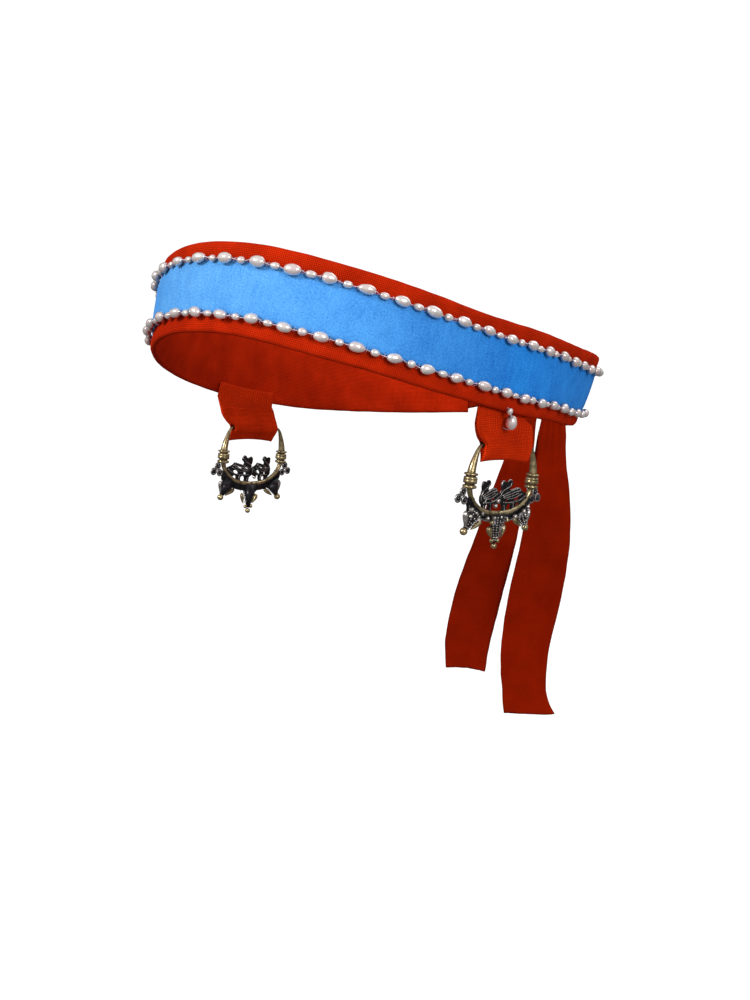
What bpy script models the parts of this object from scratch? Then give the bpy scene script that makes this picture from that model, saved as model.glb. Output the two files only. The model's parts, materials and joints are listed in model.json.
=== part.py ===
"""Pearl embroidered headband with temple rings, in the form that it has when it is worn.

Metres, +Z up. The wearer faces -Y, and their left is +X. The origin is the middle of the head
opening, at half the band's height. The cloth band runs round the head and is closed behind by
two knotted ties. A bronze temple ring hangs from a cloth tab on each side and swings there.
"""

import math

import bmesh
import bpy
from mathutils import Matrix, Vector

MM = 0.001

# The band's line round the head, as waves of the angle from the face
MEAN_RADIUS = 83.4 * MM
RADIUS_WAVES = {1: -0.021, 2: 0.157, 3: -0.054, 4: 0.017, 5: -0.012, 6: 0.001}
RISE_WAVES = {1: 28.2 * MM, 2: 5.1 * MM, 3: 2.5 * MM, 4: 0.3 * MM}
SIDE_RISE = 5.3 * MM
LEAN_WAVES = {0: math.radians(2.8), 1: math.radians(-18.9), 2: math.radians(-1.5)}

# The band, the stripe and the pearls on it
BAND_HEIGHT = 31 * MM
BAND_WALL = 2 * MM
BAND_HALF_LENGTH = 252 * MM
STATIONS = 44
EDGE_ROUND = 0.7 * MM
SEWN_GAP = 0.3 * MM
STRIPE_WALL = 1 * MM
STRIPE_HALF_LENGTH = 245 * MM
STRIPE_TO_PEARLS = 1.5 * MM
PEARL_LINES = {"lower": 6.2 * MM, "upper": 24.7 * MM}
PEARL_FIRST = {"lower": 1.5 * MM, "upper": -0.7 * MM}
PEARL_PITCH = 11.84 * MM
PEARLS_EACH_WAY = 20
PEARL_HALF_LENGTH = 2.9 * MM
PEARL_RADIUS = 2.15 * MM
PEARL_SHOULDER = 1.35 * MM
PEARL_ABOVE_BAND = 2.8 * MM
THREAD_RADIUS = 0.5 * MM

# The tabs and the rings in them
TAB_ANGLE = math.radians(87.6)
TAB_TURN = math.radians(6.4)
TAB_TUCK = 5 * MM
TAB_DROP = 11.8 * MM
TAB_STATIONS = (-1.0, -0.5, 0.0, 0.5, 1.0)
TAB_TOP_HALF_WIDTH = 16 * MM
TAB_TOP_FORWARD = 6.5 * MM
TAB_BEHIND_BAND = 0.5 * MM
TAB_UNDER_EDGE = 1.5 * MM
TAB_TUCK_WALL = 2 * MM
TAB_FACE_TO_WIRE = 2.2 * MM
TUNNEL_RADIUS = 1.9 * MM
TUNNEL_LENGTH = 60 * MM
TUNNEL_SIDES = 12
RING_TILT = math.radians(11.8)

# The tab's lower rows in mm: height over the wire, front and back face, and its middle and half width
TAB_ROWS = (
    {"height": -5.9, "front": -1.6, "back": -0.4, "middle": -1.7, "half_width": 13.8},
    {"height": -5.0, "front": -2.0, "back": 0.2, "middle": -1.2, "half_width": 13.8},
    {"height": -2.6, "front": -2.2, "back": 1.0, "middle": -0.7, "half_width": 13.9},
    {"height": -1.0, "front": -2.2, "back": 2.1, "middle": -0.4, "half_width": 13.9},
    {"height": 1.0, "front": -2.2, "back": 2.1, "middle": -0.5, "half_width": 14.0},
    {"height": 2.6, "front": -2.2, "back": 1.2, "middle": -1.3, "half_width": 14.5},
    {"height": 5.4, "front": -2.2, "back": 0.3, "middle": -2.8, "half_width": 15.2},
    {"height": 7.8, "front": -2.3, "back": 0.0, "middle": -3.9, "half_width": 15.2},
)

# The pearls sewn on the tab, from the top down, in mm beside, over and before the wire, and their thread
TAB_THREAD = 0.45
TAB_PEARLS = (
    {"across": -9.2, "height": 12.9, "out": 6.9, "radius": 1.05, "half_length": 1.1},
    {"across": -7.0, "height": 9.0, "out": 5.8, "radius": 2.15, "half_length": 2.4},
)

# Half of the hoop from the top round to the bottom, in mm: across, height and thickness
HOOP_ROWS = (
    {"across": 0.0, "height": 0.4, "thickness": 1.0},
    {"across": 9.0, "height": 0.25, "thickness": 1.0},
    {"across": 15.3, "height": -0.5, "thickness": 1.1},
    {"across": 16.5, "height": -2.3, "thickness": 1.4},
    {"across": 17.6, "height": -4.8, "thickness": 1.9},
    {"across": 18.5, "height": -10.2, "thickness": 3.0},
    {"across": 18.4, "height": -15.3, "thickness": 2.0},
    {"across": 17.0, "height": -18.7, "thickness": 1.8},
    {"across": 13.7, "height": -22.0, "thickness": 1.8},
    {"across": 8.7, "height": -24.3, "thickness": 1.8},
    {"across": 3.0, "height": -25.2, "thickness": 1.8},
)
COLLAR_MIDDLE = (18.5 * MM, 0, -13.1 * MM)
COLLAR_PROFILE = ((2.4, 2.6), (2.4, 1.3), (1.95, 0.6), (1.95, -0.6), (2.4, -1.3), (2.4, -2.6))
COLLAR_SIDES = 8
RAYS = (
    {"across": -14.1, "height": -24.2, "turn": 31, "length": 7.5, "radius": 3.3, "ball": 1.4},
    {"across": 0.0, "height": -25.5, "turn": 0, "length": 11.4, "radius": 3.9, "ball": 1.2},
    {"across": 14.1, "height": -24.2, "turn": -31, "length": 7.5, "radius": 3.3, "ball": 1.4},
)
RAY_SIDES = 10
RAY_NECK = 0.7
TIP_BALLS = ({"across": -1.6, "height": -35.6}, {"across": 1.6, "height": -35.6})
TIP_BALL_RADIUS = 0.95
PETALS = (
    {"across": 4.8, "height": -30.4, "turn": 10},
    {"across": 11.6, "height": -28.6, "turn": -38},
)
PETAL_HALF_SIZE = (1.25, 0.9, 2.6)
CURLS = (
    {"across": 20.0, "height": -17.4},
    {"across": 23.4, "height": -19.4},
    {"across": 19.9, "height": -20.7},
)
CURL_RADIUS = 1.7
CURL_WIRE = 0.5
WEB_WALL = 1.7 * MM
WEB_DEPTH = 3.2
WEB_SPREAD = 1.08
WEB_ENDS_UNDER = -17
# The two birds of the openwork face the same way: where each one's breast is, in mm, and how wide
# it is for the outline below
BIRDS = (
    {"breast": 0.0, "width": 1.0, "wall": 1.2},
    {"breast": -11.4, "width": 0.72, "wall": 1.1},
)

# One bird, from its breast: across and height in mm
BIRD_OUTLINE = (
    (0.0, -20.9), (0.0, -18.9), (1.2, -17.5), (0.3, -16.3), (0.6, -15.0), (1.9, -13.6), (4.4, -13.3),
    (7.0, -14.4), (5.0, -15.4), (5.0, -16.7), (7.4, -17.2), (10.6, -15.7), (12.6, -17.0), (16.3, -19.0),
    (13.5, -21.9), (10.2, -21.3), (9.4, -23.6), (7.6, -24.3), (7.2, -22.1), (4.6, -22.1), (4.2, -24.9),
    (2.4, -25.1), (1.9, -22.4),
)
BIRD_GAPS = (
    ((2.0, -18.8), (4.4, -17.9), (4.2, -18.8), (2.2, -19.6)),
    ((5.4, -17.9), (9.2, -17.8), (8.2, -18.7), (5.2, -18.8)),
    ((2.6, -20.6), (5.0, -19.8), (4.8, -20.8), (3.2, -21.3)),
    ((5.9, -19.8), (10.6, -19.1), (10.8, -20.0), (6.0, -20.8)),
    ((1.8, -15.4), (2.4, -14.6), (3.8, -14.5), (3.4, -15.5)),
)

# The ties, knotted behind the band
STRAP_WALL = 1.6 * MM
STRAP_STEPS = 5
STRAP_HALF_HEIGHTS = (11 * MM, 6 * MM)
STRAP_OUT_AT_KNOT = 3.6 * MM
KNOT_ARC = 275 * MM
KNOT_OUT = 6 * MM
KNOT_FLATNESS = 0.7
KNOT_SIDES = 10
KNOT_CLEARANCE = 0.4
# The knot along the band: how far from its middle and how thick, in mm
KNOT_ROWS = (
    {"along": -11.0, "radius": 3.5},
    {"along": -9.4, "radius": 6.3},
    {"along": -6.4, "radius": 7.2},
    {"along": -4.9, "radius": 6.6},
    {"along": -3.6, "radius": 8.9},
    {"along": 0.0, "radius": 9.6},
    {"along": 3.6, "radius": 8.9},
    {"along": 4.9, "radius": 6.6},
    {"along": 6.4, "radius": 7.2},
    {"along": 9.4, "radius": 6.3},
    {"along": 11.0, "radius": 3.5},
)
TIE_WALL = 1.4 * MM
# A row for each level: across, back, height, width in mm, and the turn of the cloth in degrees
TIE_LINES = {
    "left": (
        {"across": 9.5, "back": 115.6, "height": -29, "width": 8, "turn": 12},
        {"across": 11.5, "back": 114.6, "height": -43, "width": 12, "turn": 22},
        {"across": 11.5, "back": 112.5, "height": -62, "width": 16, "turn": 26},
        {"across": 13, "back": 110, "height": -82, "width": 21, "turn": 24},
        {"across": 13.5, "back": 107, "height": -104, "width": 24, "turn": 24},
        {"across": 11, "back": 103, "height": -130, "width": 26, "turn": 26},
        {"across": 8.8, "back": 98, "height": -158, "width": 24, "turn": 26},
        {"across": 10, "back": 96, "height": -180, "width": 23, "turn": 22},
        {"across": 13, "back": 95, "height": -191, "width": 25, "turn": 20},
    ),
    "right": (
        {"across": 3, "back": 115.6, "height": -29, "width": 8, "turn": -8},
        {"across": -2, "back": 112.6, "height": -43, "width": 12, "turn": -12},
        {"across": -3.5, "back": 108, "height": -62, "width": 17, "turn": -8},
        {"across": -8.5, "back": 105, "height": -84, "width": 21, "turn": 0},
        {"across": -14, "back": 102, "height": -108, "width": 24, "turn": 6},
        {"across": -21, "back": 100, "height": -134, "width": 26, "turn": 8},
        {"across": -26, "back": 98, "height": -160, "width": 26, "turn": 6},
        {"across": -27, "back": 96, "height": -178, "width": 26, "turn": 4},
    ),
}


def clear_scene():
    for thing in list(bpy.data.objects):
        bpy.data.objects.remove(thing)


def collection(name, hidden=False):
    made = bpy.data.collections.new(name)
    bpy.context.scene.collection.children.link(made)
    made.hide_render = hidden
    return made


def finish(name, colour, roughness, metallic=0.0):
    """A plain material for one kind of cloth, pearl or metal."""
    material = bpy.data.materials.new(name)
    material.use_nodes = True
    shader = material.node_tree.nodes["Principled BSDF"]
    shader.inputs["Base Color"].default_value = (*colour, 1.0)
    shader.inputs["Roughness"].default_value = roughness
    shader.inputs["Metallic"].default_value = metallic
    return material


def place(name, data, into, material=None):
    made = bpy.data.objects.new(name, data)
    into.objects.link(made)
    if material is not None:
        data.materials.append(material)
    return made


def place_bmesh(name, shape, into, material=None):
    mesh = bpy.data.meshes.new(name)
    bmesh.ops.recalc_face_normals(shape, faces=shape.faces)
    shape.to_mesh(mesh)
    shape.free()
    return place(name, mesh, into, material)


# The line of the band round the head


def waves(table, angle):
    return sum(size * math.cos(order * angle) for order, size in table.items())


def lower_edge(angle):
    """The middle of the band's wall at its lower edge."""
    radius = MEAN_RADIUS * (1 + waves(RADIUS_WAVES, angle))
    height = waves(RISE_WAVES, angle) + SIDE_RISE * math.sin(angle) - BAND_HEIGHT / 2
    return Vector((radius * math.sin(angle), -radius * math.cos(angle), height))


def directions(angle):
    """The band's own directions at an angle: along, up its face and out of its face."""
    step = 1e-3
    along = (lower_edge(angle + step) - lower_edge(angle - step)).normalized()
    up = (Vector((0, 0, 1)) - along.z * along).normalized()
    out = along.cross(up)
    lean = waves(LEAN_WAVES, angle)
    return along, up * math.cos(lean) + out * math.sin(lean), out * math.cos(lean) - up * math.sin(lean)


def on_band(angle, up_face, out):
    along, up, outward = directions(angle)
    return lower_edge(angle) + up_face * up + out * outward


def arc_table(steps=720):
    """Lengths along the band at half its height, from the face, with their angles."""
    table = [(0.0, 0.0)]
    before = on_band(0.0, BAND_HEIGHT / 2, 0.0)
    for step in range(1, steps + 1):
        angle = math.pi * step / steps
        here = on_band(angle, BAND_HEIGHT / 2, 0.0)
        table.append((table[-1][0] + (here - before).length, angle))
        before = here
    return table


ARCS = arc_table()


def angle_at(arc):
    """The angle at a length along the band, positive to the wearer's left."""
    for (arc_before, angle_before), (arc_here, angle_here) in zip(ARCS, ARCS[1:]):
        if arc_here >= abs(arc):
            share = (abs(arc) - arc_before) / (arc_here - arc_before)
            return math.copysign(angle_before + share * (angle_here - angle_before), arc)
    return math.copysign(math.pi, arc)


def arc_at(angle):
    """The length along the band from the face to an angle."""
    return min(ARCS, key=lambda row: abs(row[1] - angle))[0]


# Cloth strips


def loft(rings, name, into, material):
    """A closed body through like rings of points, each up one face and back down the other."""
    shape = bmesh.new()
    made = [[shape.verts.new(point) for point in ring] for ring in rings]
    for first, second in zip(made, made[1:]):
        for here in range(len(first)):
            after = (here + 1) % len(first)
            shape.faces.new((first[here], first[after], second[after], second[here]))
    for ring in (made[0], made[-1]):
        for here in range(len(ring) // 2 - 1):
            shape.faces.new((ring[here], ring[here + 1], ring[-here - 2], ring[-here - 1]))
    return place_bmesh(name, shape, into, material)


def round_edges(thing, width, segments=1):
    bevel = thing.modifiers.new("rounded edges", "BEVEL")
    bevel.width = width
    bevel.segments = segments
    bevel.limit_method = "ANGLE"
    bevel.angle_limit = math.radians(50)


def band_strip(name, half_length, low, high, out, wall, into, material):
    """A strip of cloth on the band's line, between two heights up its face."""
    shape = bmesh.new()
    bmesh.ops.create_grid(shape, x_segments=STATIONS, y_segments=1, size=1.0)
    for vertex in shape.verts:
        angle = angle_at(vertex.co.x * half_length)
        up_face = low if vertex.co.y < 0 else high
        vertex.co = on_band(angle, up_face, out + wall / 2)
    made = place_bmesh(name, shape, into, material)
    solidify = made.modifiers.new("cloth", "SOLIDIFY")
    solidify.thickness = wall
    solidify.offset = 0.0
    round_edges(made, min(EDGE_ROUND, 0.45 * wall))
    return made


def build_band(into, red, blue):
    wall_out = -BAND_WALL / 2
    band_strip("headband", BAND_HALF_LENGTH, 0, BAND_HEIGHT, wall_out, BAND_WALL, into, red)
    low = PEARL_LINES["lower"] + STRIPE_TO_PEARLS
    high = PEARL_LINES["upper"] - STRIPE_TO_PEARLS
    stripe_out = BAND_WALL / 2 + SEWN_GAP
    band_strip("blue_stripe", STRIPE_HALF_LENGTH, low, high, stripe_out, STRIPE_WALL, into, blue)


# Pearls


def strung(name, route, radius, into, material):
    """Pearls and their thread in one body, along a route of points with their radii."""
    curve = bpy.data.curves.new(name, "CURVE")
    curve.dimensions = "3D"
    curve.bevel_depth = radius
    curve.bevel_resolution = 3
    curve.use_fill_caps = True
    curve.twist_mode = "MINIMUM"
    spline = curve.splines.new("POLY")
    spline.points.add(len(route) - 1)
    for point, (place_there, radius_there) in zip(spline.points, route):
        point.co = (*place_there, 1.0)
        point.radius = radius_there / radius
    return place(name, curve, into, material)


def build_pearl_string(which, into, pearl):
    route = []
    for number in range(-PEARLS_EACH_WAY, PEARLS_EACH_WAY + 1):
        middle = PEARL_FIRST[which] + number * PEARL_PITCH
        for beside, radius in (
            (-PEARL_HALF_LENGTH, THREAD_RADIUS),
            (-PEARL_SHOULDER, PEARL_RADIUS),
            (PEARL_SHOULDER, PEARL_RADIUS),
            (PEARL_HALF_LENGTH, THREAD_RADIUS),
        ):
            angle = angle_at(middle + beside)
            out = BAND_WALL / 2 + PEARL_ABOVE_BAND
            route.append((on_band(angle, PEARL_LINES[which], out), radius))
    strung(f"pearl_string_{which}", route, PEARL_RADIUS, into, pearl)


# The tabs


def ring_frame(side):
    """The frame of a ring at its wire: x along the wire, y into the head and z up the ring."""
    angle = side * TAB_ANGLE
    along, _, outward = directions(angle)
    heading = math.atan2(outward.y, outward.x) - side * TAB_TURN
    out = Vector((math.cos(heading), math.sin(heading), 0.0))
    level = Vector((0, 0, 1)).cross(out)
    back = level * side
    wire = (back * math.cos(RING_TILT) - Vector((0, 0, 1)) * math.sin(RING_TILT)) * side
    up = wire.cross(-out)
    under_band = on_band(angle, 0.0, -BAND_WALL / 2 - SEWN_GAP)
    origin = under_band - out * TAB_FACE_TO_WIRE - up * TAB_DROP
    frame = Matrix((wire, -out, up)).transposed().to_4x4()
    frame.translation = origin
    return frame


def build_tab(side, name, into, red):
    """The doubled cloth: tucked behind the band above, with a tunnel for the wire below."""
    frame = ring_frame(side)
    middle_arc = arc_at(TAB_ANGLE) - TAB_TOP_FORWARD
    rings = []
    for share in TAB_STATIONS:
        front = []
        back = []
        for row in TAB_ROWS:
            across = side * row["middle"] + share * row["half_width"]
            front.append(frame @ (Vector((across, row["front"], row["height"])) * MM))
            back.append(frame @ (Vector((across, row["back"], row["height"])) * MM))
        angle = side * angle_at(middle_arc + share * side * TAB_TOP_HALF_WIDTH)
        for up_face in (-TAB_UNDER_EDGE, TAB_TUCK):
            out = -BAND_WALL / 2 - TAB_BEHIND_BAND
            front.append(on_band(angle, up_face, out))
            back.append(on_band(angle, up_face, out - TAB_TUCK_WALL))
        rings.append(front + back[::-1])
    tab = loft(rings, name, into, red)
    return tab, frame


def cut_tunnel(tab, frame, cutters):
    shape = bmesh.new()
    turn = Matrix.Rotation(math.pi / 2, 4, "Y")
    bmesh.ops.create_cone(
        shape,
        cap_ends=True,
        segments=TUNNEL_SIDES,
        radius1=TUNNEL_RADIUS,
        radius2=TUNNEL_RADIUS,
        depth=TUNNEL_LENGTH,
        matrix=turn,
    )
    cutter = place_bmesh(tab.name + "_tunnel", shape, cutters)
    cutter.matrix_world = frame
    cutter.hide_render = True
    cutter.display_type = "WIRE"
    cut = tab.modifiers.new("tunnel for the wire", "BOOLEAN")
    cut.operation = "DIFFERENCE"
    cut.object = cutter


def build_tab_pearl(name, frame, into, pearl):
    route = []
    for bead in TAB_PEARLS:
        ends = {1: TAB_THREAD, 0.45: bead["radius"], -0.45: bead["radius"], -1: TAB_THREAD}
        for share, radius in ends.items():
            height = bead["height"] + share * bead["half_length"]
            point = Vector((bead["across"], -bead["out"], height)) * MM
            route.append((frame @ point, radius * MM))
    strung(name, route, TAB_PEARLS[-1]["radius"] * MM, into, pearl)


# The temple ring, made flat and then hung in each tab


def hoop(into):
    curve = bpy.data.curves.new("hoop", "CURVE")
    curve.dimensions = "3D"
    curve.bevel_depth = 1 * MM
    curve.bevel_resolution = 1
    spline = curve.splines.new("POLY")
    other_half = [{**row, "across": -row["across"]} for row in HOOP_ROWS[:0:-1]]
    rows = list(HOOP_ROWS) + other_half
    spline.points.add(len(rows) - 1)
    spline.use_cyclic_u = True
    for point, row in zip(spline.points, rows):
        point.co = (row["across"] * MM, 0.0, row["height"] * MM, 1.0)
        point.radius = row["thickness"] / 2
    made = place("hoop", curve, into)
    return as_mesh(made, into)


def as_mesh(thing, into):
    """The same shape as a mesh with its doubled points merged."""
    bpy.context.view_layer.update()
    graph = bpy.context.evaluated_depsgraph_get()
    mesh = bpy.data.meshes.new_from_object(thing.evaluated_get(graph))
    shape = bmesh.new()
    shape.from_mesh(mesh)
    bmesh.ops.remove_doubles(shape, verts=shape.verts, dist=0.001 * MM)
    bmesh.ops.recalc_face_normals(shape, faces=shape.faces)
    shape.to_mesh(mesh)
    shape.free()
    name = thing.name
    matrix = thing.matrix_world.copy()
    bpy.data.objects.remove(thing)
    made = place(name, mesh, into)
    made.matrix_world = matrix
    return made


def turned(name, profile, segments, matrix, into, material=None):
    """A turned piece from radii and heights in mm, on the z axis of a matrix in metres."""
    rings = []
    for radius, height in profile:
        ring = []
        for step in range(segments):
            angle = 2 * math.pi * step / segments
            spot = Vector((radius * math.cos(angle), radius * math.sin(angle), height))
            ring.append(matrix @ (spot * MM))
        rings.append(ring)
    return loft(rings, name, into, material)


def build_tip_ball(number, spot, into):
    shape = bmesh.new()
    matrix = Matrix.Translation(Vector((spot["across"], 0, spot["height"])) * MM)
    bmesh.ops.create_icosphere(shape, subdivisions=1, radius=TIP_BALL_RADIUS * MM, matrix=matrix)
    place_bmesh(f"tip_ball_{number}", shape, into)


def build_ray(number, ray, into):
    """A granulated cone that points down from the hoop, with a ball on its tip."""
    start = Matrix.Translation(Vector((ray["across"], 0, ray["height"])) * MM)
    down = Matrix.Rotation(math.radians(ray["turn"]) + math.pi, 4, "Y")
    neck = ray["length"]
    size = ray["ball"]
    profile = (
        (ray["radius"], 0.0),
        (RAY_NECK, neck),
        (size, neck + 0.6 * size),
        (size, neck + 1.4 * size),
        (0.4 * size, neck + 2 * size),
    )
    turned(f"ray_{number}", profile, RAY_SIDES, start @ down, into)


def build_petal(number, side, petal, into):
    shape = bmesh.new()
    turn = Matrix.Rotation(math.radians(side * petal["turn"]), 4, "Y")
    middle = Matrix.Translation(Vector((side * petal["across"], 0, petal["height"])) * MM)
    size = Matrix.Diagonal((*(Vector(PETAL_HALF_SIZE) * MM), 1.0))
    bmesh.ops.create_uvsphere(shape, u_segments=6, v_segments=4, radius=1.0, matrix=middle @ turn @ size)
    place_bmesh(f"petal_{number}_{side}", shape, into)


def build_curl(number, side, curl, into):
    """A small closed curl of wire beside the hoop."""
    bpy.ops.mesh.primitive_torus_add(
        location=(side * curl["across"] * MM, 0, curl["height"] * MM),
        rotation=(math.pi / 2, 0, 0),
        major_segments=7,
        minor_segments=3,
        major_radius=CURL_RADIUS * MM,
        minor_radius=CURL_WIRE * MM,
    )
    made = bpy.context.object
    made.name = f"curl_{number}_{side}"
    for holder in list(made.users_collection):
        holder.objects.unlink(made)
    into.objects.link(made)


def flat_plate(name, outline, gaps, wall, into):
    """An upright plate in the ring's plane, with its gaps cut through."""
    curve = bpy.data.curves.new(name, "CURVE")
    curve.dimensions = "2D"
    curve.fill_mode = "BOTH"
    curve.extrude = wall / 2
    for points in (outline, *gaps):
        spline = curve.splines.new("POLY")
        spline.points.add(len(points) - 1)
        spline.use_cyclic_u = True
        for point, (across, height) in zip(spline.points, points):
            point.co = (across * MM, height * MM, 0.0, 1.0)
    made = place(name, curve, into)
    made.rotation_euler = (math.pi / 2, 0, 0)
    return as_mesh(made, into)


def web_outline():
    """The crescent of metal under the hoop that carries the rays."""
    low = [row for row in HOOP_ROWS if row["height"] < WEB_ENDS_UNDER]
    inner = [(row["across"], row["height"]) for row in low]
    inner += [(-across, height) for across, height in reversed(inner)]
    outer = [(across * WEB_SPREAD, height - WEB_DEPTH) for across, height in inner[1:-1]]
    return inner + outer[::-1]


def build_ring_mesh(into, bronze):
    """Every piece of the ring, soldered into one mesh."""
    pieces = collection("ring pieces", hidden=True)
    body = hoop(into)
    for side in (-1, 1):
        middle = Matrix.Translation((side * COLLAR_MIDDLE[0], *COLLAR_MIDDLE[1:]))
        turned(f"collar_{side}", COLLAR_PROFILE, COLLAR_SIDES, middle, pieces)
        for number, petal in enumerate(PETALS):
            build_petal(number, side, petal, pieces)
        for number, curl in enumerate(CURLS):
            build_curl(number, side, curl, pieces)
    for number, bird in enumerate(BIRDS):
        outline, *gaps = (
            [(bird["breast"] + bird["width"] * across, height) for across, height in line]
            for line in (BIRD_OUTLINE, *BIRD_GAPS)
        )
        flat_plate(f"bird_{number}", outline, gaps, bird["wall"] * MM, pieces)
    for number, ray in enumerate(RAYS):
        build_ray(number, ray, pieces)
    for number, spot in enumerate(TIP_BALLS):
        build_tip_ball(number, spot, pieces)
    flat_plate("web", web_outline(), (), WEB_WALL, pieces)
    solder = body.modifiers.new("solder", "BOOLEAN")
    solder.operation = "UNION"
    solder.operand_type = "COLLECTION"
    solder.collection = pieces
    soldered = as_mesh(body, into)
    for piece in list(pieces.objects):
        bpy.data.objects.remove(piece)
    mesh = soldered.data
    bpy.data.objects.remove(soldered)
    mesh.materials.append(bronze)
    return mesh


# The ties


def knot_frame():
    angle = angle_at(KNOT_ARC)
    along, up, out = directions(angle)
    frame = Matrix((along, out, up)).transposed().to_4x4()
    frame.translation = on_band(angle, BAND_HEIGHT / 2, KNOT_OUT)
    return frame


def knot(name, clearance, into, material):
    """The knot as one soft lump: a tie wrapped round between the two that enter it."""
    lie_along = Matrix.Rotation(math.pi / 2, 4, "Y")
    flatten = Matrix.Diagonal((1.0, KNOT_FLATNESS, 1.0, 1.0))
    middle = len(KNOT_ROWS) // 2
    profile = []
    for number, row in enumerate(KNOT_ROWS):
        beyond = clearance if number > middle else -clearance if number < middle else 0.0
        profile.append((row["radius"] + clearance / KNOT_FLATNESS, row["along"] + beyond))
    made = turned(name, profile, KNOT_SIDES, flatten @ lie_along, into, material)
    made.matrix_world = knot_frame()
    return made


def knot_room(thing, cutter):
    cut = thing.modifiers.new("room for the knot", "BOOLEAN")
    cut.operation = "DIFFERENCE"
    cut.object = cutter


def build_strap(side, name, into, red, cutter):
    """The tie between the band's end and the knot."""
    start = BAND_HALF_LENGTH + SEWN_GAP
    whole = ARCS[-1][0]
    end = KNOT_ARC if side > 0 else 2 * whole - KNOT_ARC
    rings = []
    for step in range(STRAP_STEPS + 1):
        share = step / STRAP_STEPS
        arc = start + share * (end - start)
        half = STRAP_HALF_HEIGHTS[0] + share * (STRAP_HALF_HEIGHTS[1] - STRAP_HALF_HEIGHTS[0])
        past_the_back = arc > whole
        angle = side * (2 * math.pi - angle_at(2 * whole - arc)) if past_the_back else side * angle_at(arc)
        out = share * STRAP_OUT_AT_KNOT - BAND_WALL / 2
        ring = []
        for up_face, layer in ((-half, 0), (half, 0), (half, STRAP_WALL), (-half, STRAP_WALL)):
            ring.append(on_band(angle, BAND_HEIGHT / 2 + up_face, out + layer))
        rings.append(ring)
    strap = loft(rings, name, into, red)
    knot_room(strap, cutter)


def build_tie_end(which, name, into, red, cutter):
    """The hanging end of a tie, from the knot to its cut end."""
    rings = []
    for row in TIE_LINES[which]:
        middle = Vector((row["across"], row["back"], row["height"])) * MM
        turn = math.radians(row["turn"])
        across = Vector((math.cos(turn), math.sin(turn), 0)) * row["width"] * MM / 2
        out = Vector((-math.sin(turn), math.cos(turn), 0)) * TIE_WALL / 2
        rings.append([middle - across - out, middle + across - out, middle + across + out, middle - across + out])
    tie = loft(rings, name, into, red)
    knot_room(tie, cutter)


def main():
    clear_scene()
    parts = collection("pearl embroidered headband")
    cutters = collection("cutters", hidden=True)
    red = finish("red_linen", (0.50, 0.030, 0.006), 0.9)
    blue = finish("blue_cloth", (0.05, 0.33, 0.85), 0.6)
    pearl = finish("pearl", (0.85, 0.78, 0.78), 0.25)
    bronze = finish("antique_bronze", (0.36, 0.27, 0.15), 0.35, metallic=1.0)
    build_band(parts, red, blue)
    for which in PEARL_LINES:
        build_pearl_string(which, parts, pearl)
    ring_mesh = build_ring_mesh(parts, bronze)
    for side, word in ((1, "left"), (-1, "right")):
        tab, frame = build_tab(side, f"tab_{word}", parts, red)
        cut_tunnel(tab, frame, cutters)
        build_tab_pearl(f"tab_pearl_{word}", frame, parts, pearl)
        ring = bpy.data.objects.new(f"temple_ring_{word}", ring_mesh)
        parts.objects.link(ring)
        ring.matrix_world = frame
    knot("tie_knot", 0.0, parts, red)
    cutter = knot("knot_room", KNOT_CLEARANCE, cutters, None)
    cutter.hide_render = True
    cutter.display_type = "WIRE"
    for side, word in ((1, "left"), (-1, "right")):
        build_strap(side, f"tie_strap_{word}", parts, red, cutter)
        build_tie_end(word, f"tie_end_{word}", parts, red, cutter)


main()
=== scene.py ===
"""The looks of the pearl embroidered headband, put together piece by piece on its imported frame.

Metres, +Z up. The wearer faces -Y, and their left is +X. Sizes named in mm are multiplied by MM
where they are used.
"""

import functools
import json
import math
import random

import bmesh
import bpy
import numpy as np
from mathutils import Matrix, Vector, noise


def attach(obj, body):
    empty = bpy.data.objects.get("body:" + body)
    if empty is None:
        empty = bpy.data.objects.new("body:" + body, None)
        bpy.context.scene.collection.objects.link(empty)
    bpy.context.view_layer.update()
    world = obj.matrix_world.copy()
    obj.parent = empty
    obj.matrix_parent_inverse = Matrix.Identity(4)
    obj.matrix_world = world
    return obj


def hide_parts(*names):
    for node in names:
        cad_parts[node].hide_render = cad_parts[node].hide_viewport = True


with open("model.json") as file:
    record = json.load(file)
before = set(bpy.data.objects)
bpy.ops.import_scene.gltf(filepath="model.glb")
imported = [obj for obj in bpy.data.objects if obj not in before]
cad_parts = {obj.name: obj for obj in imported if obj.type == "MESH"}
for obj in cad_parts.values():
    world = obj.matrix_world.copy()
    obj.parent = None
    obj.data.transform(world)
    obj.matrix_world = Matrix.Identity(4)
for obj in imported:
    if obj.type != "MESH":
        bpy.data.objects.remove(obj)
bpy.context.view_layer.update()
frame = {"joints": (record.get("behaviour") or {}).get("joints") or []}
MM = 0.001

# The view, the light and the floor. A camera a little above the wearer's left brow, in a pale
# studio with a soft light high before the face, one beside it, a weak one behind, and white paper
# that sweeps up at the back.

VIEW_PLACE = Vector((0.29442, -0.33105, 0.0669))
VIEW_RIGHT = Vector((0.74882, 0.66240, -0.02202))
VIEW_UP = Vector((-0.16575, 0.21934, 0.96147))
VIEW_BACK = Vector((0.64171, -0.71632, 0.27404))
FOCAL_LENGTH = 39.6
SENSOR_HEIGHT = 36
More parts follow.
